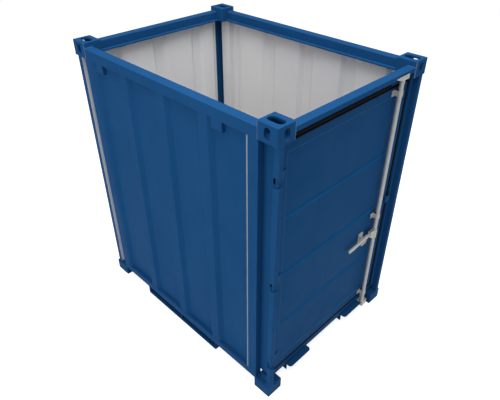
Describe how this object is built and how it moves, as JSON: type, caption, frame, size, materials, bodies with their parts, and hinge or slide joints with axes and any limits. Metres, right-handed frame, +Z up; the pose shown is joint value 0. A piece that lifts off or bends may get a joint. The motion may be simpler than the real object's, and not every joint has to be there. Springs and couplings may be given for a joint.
{
  "type": "storage container",
  "caption": "Small steel storage container with corner castings, ribbed sheet walls, fork pockets and one hinged door with a locking bar and lever handle; the top is open.",
  "frame": {"origin": "middle of the footprint, on the ground", "axes": "+Z up, -Y out of the door end, -X towards the hinge side of the door"},
  "size_m": [1.6, 2.2, 2.438],
  "materials": {
    "blue_paint": "satin",
    "wall_paint": "satin",
    "galvanised_steel": "satin",
    "door_rubber": "matte",
    "black_plastic": "matte",
    "plywood_floor": "matte"
  },
  "bodies": {
    "container": {"casting_front_left": "blue_paint", "casting_front_right": "blue_paint", "casting_rear_left": "blue_paint", "casting_rear_right": "blue_paint", "foot_front_left": "blue_paint", "foot_front_right": "blue_paint", "foot_rear_left": "blue_paint", "foot_rear_right": "blue_paint", "hinge_post": "blue_paint", "lock_post": "blue_paint", "rear_post_left": "blue_paint", "rear_post_right": "blue_paint", "top_rail_left": "blue_paint", "top_rail_right": "blue_paint", "top_rail_rear": "blue_paint", "header": "blue_paint", "bottom_rail_left": "blue_paint", "bottom_rail_right": "blue_paint", "front_sill": "blue_paint", "rear_sill": "blue_paint", "side_wall_left": "wall_paint", "side_wall_right": "wall_paint", "rear_wall": "wall_paint", "floor_boards": "plywood_floor", "cross_members": "blue_paint", "side_fork_pockets": "blue_paint", "end_fork_channels": "blue_paint", "vent_covers": "blue_paint", "hinge_pins": "blue_paint", "top_keeper": "galvanised_steel", "low_keeper": "galvanised_steel"},
    "door": {"door_stile_left": "blue_paint", "door_stile_right": "blue_paint", "door_rail_top": "blue_paint", "door_rail_bottom": "blue_paint", "door_panel": "blue_paint", "door_seal": "door_rubber", "hinge_leaves": "blue_paint", "bar_guides": "galvanised_steel", "bar_bushings": "black_plastic", "handle_rest": "galvanised_steel"},
    "bar": {"locking_bar": "galvanised_steel", "handle_hub": "galvanised_steel"},
    "handle": {"door_handle": "galvanised_steel"}
  },
  "joints": [
    {"name": "door_hinge", "type": "hinge", "parent": "container", "child": "door", "pos_m": [-0.76, -1.074, 1.2], "axis": [0, 0, -1], "range_deg": [0, 250]},
    {"name": "bar_turn", "type": "hinge", "parent": "door", "child": "bar", "pos_m": [0.523, -1.078, 1.2], "axis": [0, 0, 1], "range_deg": [0, 110]},
    {"name": "handle_lift", "type": "hinge", "parent": "bar", "child": "handle", "pos_m": [0.462, -1.078, 0.975], "axis": [0, 1, 0], "range_deg": [0, 40]}
  ]
}
